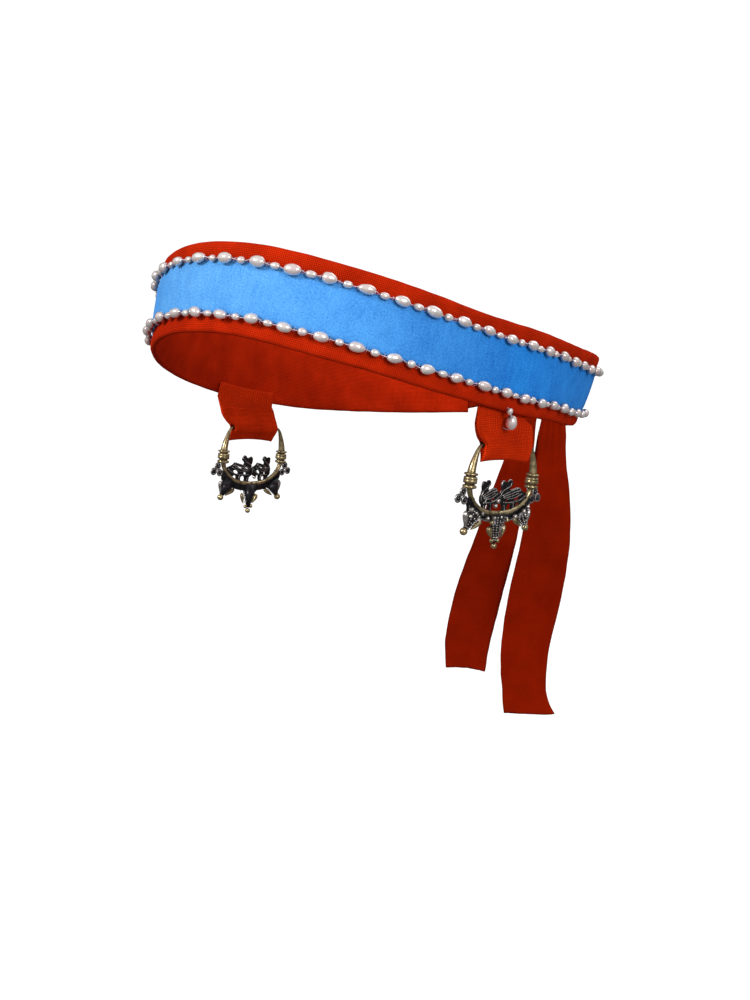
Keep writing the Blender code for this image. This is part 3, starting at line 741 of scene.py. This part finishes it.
tab_red = woven_cloth(
    "tab_linen", light=(0.93, 0.047, 0.004), dark=(0.2, 0.005, 0.001),
    threads=1600, depth=0.16 * MM, tone=0.15,
)

SIDES = (("left", 1), ("right", -1))
for word, side in SIDES:
    tab = tab_cloth(word, side)
    tab.data.materials.append(tab_red)
    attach(tab, "headband")
    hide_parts(f"tab_{word}")

# The two pearls sewn on each tab, a round one and a long one under it, on one stitch that comes
# out below them.

TAB_PEARLS = (
    {"across": -10.2, "height": 12.9, "out": 6.9, "radius": 1.15, "half_length": 1.3},
    {"across": -7.0, "height": 9.0, "out": 5.8, "radius": 2.2, "half_length": 2.75},
)
# Where the stitch comes out over the pearls, and where it goes in again under them, in mm
STITCH_START = (-10.3, -5.7, 14.2)
STITCH_END = ((-6.7, -5.2, 6.5), (-7.1, -2.4, 6.6))
STITCH_THREAD = 0.35 * MM

for word, side in SIDES:
    hang = ring_frame(word)
    luck = random.Random(5 + side)
    along = hang.to_3x3() @ Vector((side * -0.16, -0.05, 0.98)).normalized()
    facing = hang.to_3x3() @ Vector((0, -1, 0))
    shape = bmesh.new()
    stitch = [STITCH_START]
    for pearl in TAB_PEARLS:
        spot = (pearl["across"], -pearl["out"], pearl["height"])
        place = hang @ (Vector((side * spot[0], *spot[1:])) * MM)
        grow_pearl(shape, place, along, facing, pearl["half_length"] * MM, pearl["radius"] * MM, 4, luck)
        stitch.append(spot)
    stitch += STITCH_END
    bmesh.ops.recalc_face_normals(shape, faces=shape.faces)
    tab_pearls = shaped_piece(f"tab_pearls_{word}", shape, smooth=True)
    tab_pearls.data.materials.append(pearl_skin)
    sewn = bmesh.new()
    stitch_path = [hang @ (Vector((side * across, *rest)) * MM) for across, *rest in stitch]
    sewn.from_mesh(wire(stitch_path, STITCH_THREAD, sides=1))
    tab_stitch = shaped_piece(f"tab_stitch_{word}", sewn, smooth=True)
    tab_stitch.data.materials.append(sewing_thread)
    for piece in (tab_pearls, tab_stitch):
        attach(piece, "headband")
        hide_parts(f"tab_pearl_{word}")

# The temple rings. Bronze, soldered from a tapered hoop with ribbed collars, two openwork birds one
# behind the other, a web under the hoop, three granulated rays with smooth leaves, and side curls.

# Across, height and thickness of the hoop's wire in mm, from the top to the seam below
HOOP_ROWS = (
    (0.0, 0.4, 1.0), (9.0, 0.25, 1.0), (14.6, -0.2, 1.1), (16.0, -1.6, 1.4), (16.9, -3.6, 1.9),
    (17.9, -6.8, 2.6), (18.5, -10.2, 3.1), (18.5, -13.4, 3.0), (18.4, -15.6, 2.2), (17.0, -18.9, 1.9),
    (13.7, -22.1, 1.9), (8.7, -24.3, 1.9), (3.6, -25.1, 1.9), (0.35, -25.3, 1.9),
)
LOW_HOOP = [row[:2] for row in HOOP_ROWS[9:]]
# The collar's place on the hoop, and its ribs out from its middle and up it, in mm
COLLAR_PLACE = (18.5, -13.1)
COLLAR_RIBS = (
    (1.6, 2.9), (2.4, 2.75), (2.6, 2.45), (2.4, 2.05), (1.85, 1.95), (1.85, 1.5), (2.45, 1.35),
    (2.55, 0.6), (2.35, 0.45), (2.55, 0.3), (2.55, -0.85), (1.85, -1.1), (1.85, -1.5), (2.4, -1.65),
    (2.65, -2.1), (2.45, -2.6), (1.6, -2.9),
)
# A leaf's blunt top and its tip, across and height in mm, and its width
LEAVES = (
    ((-9.4, -28.0), (-15.2, -31.1), 2.0), ((-4.8, -30.2), (-2.2, -34.4), 2.6),
    ((4.9, -29.6), (3.6, -34.4), 1.8), ((9.8, -27.7), (15.4, -30.6), 1.9),
)
OUTER_LEAVES = (((-19.2, -24.0), (-18.0, -30.4), 2.6), ((19.1, -23.9), (18.2, -29.6), 1.6))
# Across, height and radius in mm of the balls at the rays' tips and between the rays
BALLS = (
    (-18.4, -31.6, 1.45), (18.3, -31.1, 1.35), (0.4, -37.6, 1.15), (-1.3, -35.6, 0.9), (2.1, -35.7, 0.85),
    (-4.0, -28.5, 0.9), (5.0, -27.8, 0.8),
)


def ring_wire(shape, path, thickness, closed=False, sides=2):
    """Solders a wire in the ring; its path is across and height in mm, or with the depth between."""
    full = [(p[0], 0.0, p[1]) if len(p) == 2 else p for p in path]
    shape.from_mesh(wire(full, thickness, closed, sides))


def ring_ball(shape, across, depth, height, radius, fineness=2):
    place = Matrix.Translation((across, depth, height))
    bmesh.ops.create_icosphere(shape, subdivisions=fineness, radius=radius, matrix=place)


def ring_collar(shape, side):
    """The ribbed collar where the wire meets the body, spun round its middle."""
    turned = bmesh.new()
    chain = [turned.verts.new((radius, 0, height)) for radius, height in COLLAR_RIBS]
    edges = [turned.edges.new(pair) for pair in zip(chain, chain[1:])]
    bmesh.ops.spin(
        turned, geom=chain + edges, cent=(0, 0, 0), axis=(0, 0, 1), angle=2 * math.pi, steps=32,
        use_merge=True,
    )
    bmesh.ops.holes_fill(turned, edges=[e for e in turned.edges if e.is_boundary], sides=0)
    bmesh.ops.translate(turned, verts=turned.verts, vec=(side * COLLAR_PLACE[0], 0, COLLAR_PLACE[1]))
    mesh = bpy.data.meshes.new("collar")
    turned.to_mesh(mesh)
    turned.free()
    shape.from_mesh(mesh)
    bpy.data.meshes.remove(mesh)


def ring_leaf(shape, top, tip, width):
    """A smooth drop-shaped leaf, blunt at the top and pointed at its tip."""
    top, tip = Vector((top[0], -0.35, top[1])), Vector((tip[0], -0.35, tip[1]))
    upward = (top - tip).normalized()
    sideways = Vector((0, 1, 0)).cross(upward)
    for vertex in bmesh.ops.create_uvsphere(shape, u_segments=18, v_segments=14, radius=1.0)["verts"]:
        x, y, z = vertex.co
        taper = (0.86 + 0.5 * z) * width / 2
        spot = (top + tip) / 2 + upward * (z * (top - tip).length / 2)
        vertex.co = spot + sideways * (x * taper) + Vector((0, y * (taper * 0.55 + 0.35), 0))


def hoop_and_balls():
    """The rubbed parts: the hoop in its two halves, the collars, the smooth leaves and the balls."""
    shape = bmesh.new()
    for side in (-1, 1):
        path = [(side * across, height) for across, height, _ in HOOP_ROWS]
        ring_wire(shape, path, [row[2] for row in HOOP_ROWS], sides=4)
        ring_collar(shape, side)
    for leaf in LEAVES:
        ring_leaf(shape, *leaf)
    for across, height, radius in BALLS:
        ring_ball(shape, across, -1.0 if height > -30 else 0.0, height, radius, 3)
    return shape


# The ring's plates, a little thinner than the wires on them: a bird from its breast with its gaps,
# the two birds' places and widths, and the rays' tops, tips and half widths, in mm
BIRD_OUTLINE = (
    (0.0, -20.9), (0.0, -18.9), (1.2, -17.3), (0.6, -16.0), (0.4, -14.6), (1.4, -13.4),
    (3.2, -13.9), (5.0, -13.0), (6.6, -14.2), (5.2, -15.6), (5.4, -16.6), (7.4, -17.0),
    (10.8, -15.9), (12.6, -16.9), (16.3, -19.0), (13.5, -21.9), (10.2, -21.3), (9.4, -23.6),
    (7.6, -24.3), (7.2, -22.1), (4.6, -22.1), (4.2, -24.9), (2.4, -25.1), (1.9, -22.4),
)
BIRD_GAPS = (
    ((2.4, -18.5), (4.8, -17.7), (4.6, -18.1), (2.6, -18.9)),
    ((6.4, -18.0), (9.8, -17.3), (9.4, -17.7), (6.4, -18.4)),
    ((3.4, -20.6), (5.6, -20.2), (5.4, -20.9), (3.8, -21.2)),
    ((8.6, -20.1), (12.0, -19.1), (12.0, -19.8), (8.8, -20.8)),
)
BIRD_PLACES = ((0.0, 1.0), (-11.4, 0.72))
BIRD_WALL = 0.6
WEB_WALL = 1.2
WEB_WIDER = 1.07
PLATE_EDGE = 0.12
RAYS = (
    {"top": (-13.9, -24.2), "tip": (-18.0, -31.0), "half": 4.3},
    {"top": (0.1, -25.6), "tip": (0.3, -36.2), "half": 4.2},
    {"top": (14.0, -24.0), "tip": (18.0, -30.6), "half": 4.1},
)
RAY_TIP = 0.75
# Across, height and radius of the side curls' rings, in mm
SIDE_RINGS = (
    (-21.7, -17.1, 1.35), (-24.0, -19.5, 1.35), (-20.3, -20.2, 1.3), (21.5, -17.3, 1.35),
    (23.7, -19.6, 1.35), (20.0, -20.2, 1.3),
)


def flat_plate(shape, outline, gaps, wall):
    """An upright plate in the ring's plane, with its gaps pierced."""
    sheet = bpy.data.curves.new("plate", "CURVE")
    sheet.dimensions = "2D"
    sheet.fill_mode = "BOTH"
    sheet.extrude = wall / 2
    sheet.bevel_depth = PLATE_EDGE
    for points in (outline, *gaps):
        smooth_spline(sheet, [(across, height, 0) for across, height in points], True)
    sheet.resolution_u = 3
    mesh = curve_mesh(sheet)
    mesh.transform(Matrix.Rotation(math.pi / 2, 4, "X"))
    shape.from_mesh(mesh)


def ray_frame(ray):
    """A ray's top, its direction down to the tip, the direction across it and its length."""
    top, tip = (Vector((ray[end][0], 0, ray[end][1])) for end in ("top", "tip"))
    down = (tip - top).normalized()
    return top, down, Vector((0, 1, 0)).cross(down), (tip - top).length


def on_ray(ray, lean, share):
    """A place on a ray's skin: lean goes from -1 to 1 round its front, and share down to its tip."""
    top, down, across, length = ray_frame(ray)
    half = ray["half"] * (1 - share) + RAY_TIP * share
    around = lean * math.pi / 2
    before = Vector((0, (half * 0.5 + 0.3) * math.cos(around), 0))
    return top + down * (share * length) + across * (half * math.sin(around)) - before


def plates():
    """The dark parts: the birds' plates, the web under the hoop, the rays and the curls' hearts."""
    shape = bmesh.new()
    for breast, width in BIRD_PLACES:
        outline, *gaps = ([(breast + width * x, z) for x, z in line] for line in (BIRD_OUTLINE, *BIRD_GAPS))
        flat_plate(shape, outline, gaps, BIRD_WALL)
    inner = LOW_HOOP + [(-across, height) for across, height in reversed(LOW_HOOP)]
    outer = [(across * WEB_WIDER, height - 3.2) for across, height in inner]
    flat_plate(shape, inner + outer[::-1], (), WEB_WALL)
    for ray in RAYS:
        top, down, across, length = ray_frame(ray)
        cone = bmesh.ops.create_cone(
            shape, cap_ends=True, segments=28, radius1=ray["half"], radius2=RAY_TIP, depth=length
        )["verts"]
        for vertex in cone:
            x, y, z = vertex.co
            flat = 0.5 + 0.3 / max(abs(x) + abs(y), RAY_TIP)
            vertex.co = top + down * (z + length / 2) + across * x + Vector((0, y * flat, 0))
    for across, height, radius in SIDE_RINGS:
        ring_ball(shape, across, 0, height, radius * 0.7)
    return shape


# A bird's wires, its neck first and then its feathers, from its breast, in mm
BIRD_WIRES = (
    ((0.1, -20.6), (0.1, -18.5), (1.0, -17.0), (3.2, -15.9), (5.1, -15.0), (5.8, -13.9)),
    ((1.0, -18.7), (4.7, -17.4), (8.8, -16.3), (11.6, -16.3), (10.4, -17.1)),
    ((1.5, -19.2), (6.1, -18.0), (10.2, -17.0), (12.4, -16.8)),
    ((2.2, -19.7), (6.9, -18.8), (11.0, -17.7)),
    ((4.1, -20.0), (8.9, -19.4), (13.2, -17.7)),
    ((2.0, -21.2), (7.0, -21.2), (12.0, -20.3), (15.4, -18.6)),
    ((8.0, -21.4), (8.4, -22.8), (8.2, -24.2)),
    ((2.6, -22.2), (3.2, -23.6), (3.0, -24.8)),
)
BIRD_CREST = ((1.3, -14.3, 1.05), (5.2, -13.9, 1.15))
RAY_WIRES = (
    ((-0.9, -27.4), (-0.7, -30.0), (0.0, -32.4), (1.3, -34.6)),
    ((1.6, -27.2), (1.7, -29.6), (1.0, -31.2), (2.0, -33.2)),
)
FEATHER_WIRE = 0.38
CREST_WIRE = 0.6
CURL_WIRE = 0.75
WEB_WIRE = 0.5
RAY_WIRE = 0.34


def small_ring(shape, across, height, radius, thickness):
    turns = [2 * math.pi * step / 8 for step in range(8)]
    circle = [(across + radius * math.cos(turn), height + radius * math.sin(turn)) for turn in turns]
    ring_wire(shape, circle, thickness, closed=True)


def wires():
    """The worn parts: feathers and crests on both faces of the birds, side curls and edge wires."""
    shape = bmesh.new()
    for breast, width in BIRD_PLACES:
        for line in BIRD_WIRES:
            for depth in (-0.42, 0.42):
                ring_wire(shape, [(breast + width * x, depth, z) for x, z in line], FEATHER_WIRE)
        for x, z, radius in BIRD_CREST:
            small_ring(shape, breast + width * x, z, radius * width, CREST_WIRE)
    for across, height, radius in SIDE_RINGS:
        small_ring(shape, across, height, radius, CURL_WIRE)
    for leaf in OUTER_LEAVES:
        ring_leaf(shape, *leaf)
    for line in RAY_WIRES:
        path = [(across, -2.5 + 0.2 * step, height) for step, (across, height) in enumerate(line)]
        ring_wire(shape, path, RAY_WIRE)
    for side in (-1, 1):
        edge = [(side * across * WEB_WIDER, -0.62, height - 3.1) for across, height in LOW_HOOP]
        ring_wire(shape, edge, WEB_WIRE)
    return shape


# Across, height and radius in mm of the large granules on the web and the two under a bird's breast
WEB_GRANULES = (
    (-17.0, -23.5, 1.0), (-11.3, -24.9, 0.75), (-7.9, -26.8, 0.85), (-13.0, -26.1, 0.6), (-17.9, -25.8, 0.7),
    (-3.8, -26.7, 0.75), (0.0, -26.4, 0.7), (3.5, -26.9, 0.6), (8.6, -26.4, 0.95), (13.5, -24.4, 0.95),
    (14.5, -25.7, 0.7), (16.7, -22.9, 0.9), (-15.0, -24.6, 0.6), (11.2, -26.6, 0.6),
)
BREAST_GRANULES = ((-1.6, -20.6, 0.95), (-2.7, -22.4, 0.9))
RAY_GRANULE = 0.4
MIDDLE_GRANULE = 0.46
GRANULE_PITCH = 0.92


def granules():
    """Balls of metal soldered on the web, under the birds and in rows down the rays."""
    shape = bmesh.new()
    for across, height, radius in WEB_GRANULES:
        ring_ball(shape, across, -1.15 if height > -24 else -1.9, height, radius)
    for across, height, radius in BREAST_GRANULES:
        ring_ball(shape, across, -0.7, height, radius)
    for ray in RAYS:
        rows = int((Vector(ray["tip"]) - Vector(ray["top"])).length / GRANULE_PITCH)
        for step in range(1, rows):
            share = step / rows
            for lean in (-0.82, -0.36, 0.36, 0.82):
                ring_ball(shape, *on_ray(ray, lean * (1 - 0.2 * share), share), RAY_GRANULE, 1)
            if step % 2:
                ring_ball(shape, *on_ray(ray, 0.0, share), MIDDLE_GRANULE, 1)
    return shape


def patina_group():
    """Old bronze: bright where it is rubbed, dull between, and dark in its recesses."""
    tree, given, result = new_group(
        "patina",
        {"Spot": "Vector", "Bright": "Color", "Dull": "Color", "Dark": "Color", "Wear": "Float"},
        {"Colour": "Color", "Roughness": "Float", "Pits": "Float"},
    )
    open_share = openness(tree, 1.6 * MM, given["Wear"], 0.95, only_local=True)
    stained = spread(tree, mottle(tree, given["Spot"], 420, 5), 0.4, 0.66, 0.0, 1.0)
    skin = blend_colours(tree, stained, given["Bright"], given["Dull"])
    tree.links.new(blend_colours(tree, open_share, given["Dark"], skin), result["Colour"])
    polish = spread(tree, open_share, 0, 1, 0.6, 0.2)
    rough = count(tree, "ADD", polish, spread(tree, stained, 0, 1, 0.0, 0.15))
    tree.links.new(rough, result["Roughness"])
    tree.links.new(mottle(tree, given["Spot"], 2400, 3), result["Pits"])
    return tree


patina = patina_group()


def bronze(name, bright, dull, dark, wear):
    made, tree, shader = new_finish(name, {"Metallic": 0.9})
    spot = add_node(tree, "TexCoord").outputs["Object"]
    colours = {"Bright": (*bright, 1.0), "Dull": (*dull, 1.0), "Dark": (*dark, 1.0)}
    worn = use_group(tree, patina, Spot=spot, Wear=wear, **colours)
    tree.links.new(worn["Colour"], shader.inputs["Base Color"])
    tree.links.new(worn["Roughness"], shader.inputs["Roughness"])
    raise_skin(tree, shader, worn["Pits"], 0.4, 0.06 * MM)
    return made


# Each group of the ring's parts, its finish, its colours where it is rubbed, between and in its
# recesses, and how open a recess may be and still be dark
RING_MAKINGS = (
    ("hoop", hoop_and_balls, "rubbed_bronze",
     (0.58, 0.46, 0.25), (0.19, 0.145, 0.075), (0.012, 0.01, 0.008), 0.45),
    ("plates", plates, "dark_bronze",
     (0.055, 0.051, 0.057), (0.018, 0.017, 0.021), (0.003, 0.003, 0.004), 0.45),
    ("wires", wires, "worn_bronze",
     (0.55, 0.52, 0.50), (0.13, 0.125, 0.13), (0.01, 0.01, 0.014), 0.25),
    ("granules", granules, "bright_bronze",
     (0.74, 0.69, 0.63), (0.30, 0.275, 0.27), (0.015, 0.014, 0.017), 0.25),
)
for kind, make, *finish in RING_MAKINGS:
    metal = bronze(*finish)
    pattern = make()
    bmesh.ops.remove_doubles(pattern, verts=pattern.verts, dist=0.0005)
    bmesh.ops.recalc_face_normals(pattern, faces=pattern.faces)
    for word, _ in SIDES:
        ring_piece = shaped_piece(f"temple_{kind}_{word}", pattern.copy(), smooth=True)
        ring_piece.data.transform(ring_frame(word) @ Matrix.Scale(MM, 4))
        ring_piece.data.materials.append(metal)
        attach(ring_piece, f"temple_ring_{word}")
        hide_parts(f"temple_ring_{word}")
    pattern.free()

# The ties. The band's linen runs on at both ends as a gathered strip, knotted behind, and its two
# ends hang down from the knot, cut straight across.

KNOT_ARC = 275 * MM
KNOT_OUT = 6 * MM
# How far it is along the band from the face to the knot, on each side
KNOT_REACH = {"left": KNOT_ARC, "right": 2 * HALF_ROUND - KNOT_ARC}
# Across, back and height of a tie's middle line, its width there in mm and its turn in degrees
TIE_LINES = {
    "left": (
        (9.5, 115.6, -29, 8, 12), (11.5, 114.6, -43, 12, 22), (11.5, 112.5, -62, 16, 26),
        (13, 110, -82, 21, 24), (13.5, 107, -104, 24, 24), (11, 103, -130, 26, 26),
        (8.8, 98, -158, 24, 26), (10, 96, -180, 23, 22), (13, 95, -191, 25, 20),
    ),
    "right": (
        (3, 115.6, -29, 8, -8), (-2, 112.6, -43, 12, -12), (-3.5, 108, -62, 17, -8),
        (-8.5, 105, -84, 21, 0), (-14, 102, -108, 24, 6), (-21, 100, -134, 26, 8),
        (-26, 98, -160, 26, 6), (-27, 96, -178, 26, 4),
    ),
}
TIE_TURNS = 40
TIE_STEPS = 150
TIE_HALF_WALL = 0.62
TIE_GATHERED = 0.34
STRAP_HALF_WALL = 0.6 * MM
STRAP_TURNS = 48
STRAP_STEPS = 30


def across_wall(place_round, turns):
    """For a place round a flat strip's wall: whether it is on the first face, and how far across."""
    first = place_round < turns // 2
    step = place_round if first else turns - 1 - place_round
    return first, 2 * step / (turns // 2 - 1) - 1


def tie_cloth(word, side):
    """A hanging end: gathered under the knot, then flat, with a soft twist and turned edges."""
    rows = rounded(TIE_LINES[word], TIE_STEPS + 1, closed=False)

    def place(along, place_round):
        across, back, height, width, turn = rows[round(along * TIE_STEPS)]
        first, share = across_wall(place_round, TIE_TURNS)
        wall = TIE_HALF_WALL * (1 - 0.75 * max(0.0, (abs(share) - 1) / EDGE_ROUND + 1))
        pleat = 1.5 * max(0.0, 1 - along / TIE_GATHERED) * math.cos(share * 7.2 + 0.6)
        ripple = 0.8 * math.sin(share * 1.9 + along * 9 + side) * min(1, along * 4)
        curl = 1.2 * share**2 * math.sin(5.5 * along + 0.7 * side)
        off = (wall if first else -wall) + pleat + ripple + curl
        edge = share * width / 2 + 0.25 * noise.noise(Vector((along * 22, share, side)))
        cut = max(0.0, along * 12 - 11)
        height += (0.7 * noise.noise(Vector((share * 2.2, 3.0, side))) + 2.1 * share) * cut
        edge += 1.5 * max(0.0, share * side) ** 3 * cut
        cosine, sine = math.cos(math.radians(turn)), math.sin(math.radians(turn))
        return Vector((across + edge * cosine - off * sine, back + edge * sine + off * cosine, height)) * MM

    return cloth_round(f"shaded_tie_linen_{word}", TIE_STEPS, TIE_TURNS, place)


def strap_cloth(word, side):
    """The strip between the band's end and the knot, pleated as it narrows."""
    start = BAND_HALF_LENGTH - 1.0 * MM
    end = KNOT_REACH[word] - 4 * MM

    def place(along, place_round):
        first, share = across_wall(place_round, STRAP_TURNS)
        half = (13.5 - 8.0 * along) * MM
        pleat = (0.25 + 0.9 * along) * math.cos(share * 11 + side) * MM
        out = along * 4.2 * MM + (STRAP_HALF_WALL if first else -STRAP_HALF_WALL)
        out += pleat * min(1, 3 * along)
        return on_band(side * (start + along * (end - start)), BAND_HEIGHT / 2 + share * half, out)

    return cloth_round(f"tie_strap_linen_{word}", STRAP_STEPS, STRAP_TURNS, place)


# Painted shade: the ties, their straps and the knot wear a darker copy of the band's linen, for the shade
# they hang in behind the wearer's head.
shade_linen = woven_cloth(
    "shaded_tie_linen", light=(0.31, 0.0125, 0.0003), dark=(0.15, 0.005, 0.0001),
    threads=1900, depth=0.06 * MM, tone=0.1,
)

for word, side in SIDES:
    tie = tie_cloth(word, side)
    tie.data.materials.append(shade_linen)
    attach(tie, "headband")
    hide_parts(f"tie_end_{word}")
    strap = strap_cloth(word, side)
    strap.data.materials.append(shade_linen)
    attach(strap, "headband")
    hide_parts(f"tie_strap_{word}")

# The knot. The two ties cross once and one is wrapped over the other, pulled firm, so that the
# wrap stands over two softer shoulders with creases running into them.

KNOT_HALF = (11.0, 6.6, 9.6)
KNOT_STEPS = 72
KNOT_TURNS = 72


def knot_cloth():
    """The knot's skin: the wrap round its middle, its shoulders and the creases into them."""
    start, along, up_face, outward = directions(angle_at(KNOT_ARC))
    middle = start + up_face * BAND_HEIGHT / 2 + outward * KNOT_OUT

    def place(share, place_round):
        x = -math.cos(share * math.pi)
        around = 2 * math.pi * place_round / KNOT_TURNS
        wrap = math.exp(-((x / 0.34) ** 6))
        shoulder = math.sqrt(max(0.0, 1 - abs(x) ** 3.2))
        size = shoulder * (0.70 + 0.26 * wrap)
        crease = 0.035 * wrap * math.cos(30 * x + 1.2 * math.sin(around))
        crease += 0.07 * (1 - wrap) * math.cos(7 * around + 3 * x) * shoulder
        soft = 0.05 * noise.noise(Vector((x * 2, math.cos(around) * 1.5, math.sin(around) * 1.5)))
        size += crease + soft * shoulder
        y = KNOT_HALF[1] * size * math.cos(around)
        z = KNOT_HALF[2] * size * math.sin(around)
        return middle + along * (x * KNOT_HALF[0] * MM) + outward * (y * MM) + up_face * (z * MM)

    return cloth_round("tie_knot_linen", KNOT_STEPS, KNOT_TURNS, place)


knot = knot_cloth()
knot.data.materials.append(shade_linen)
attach(knot, "headband")
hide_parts("tie_knot")
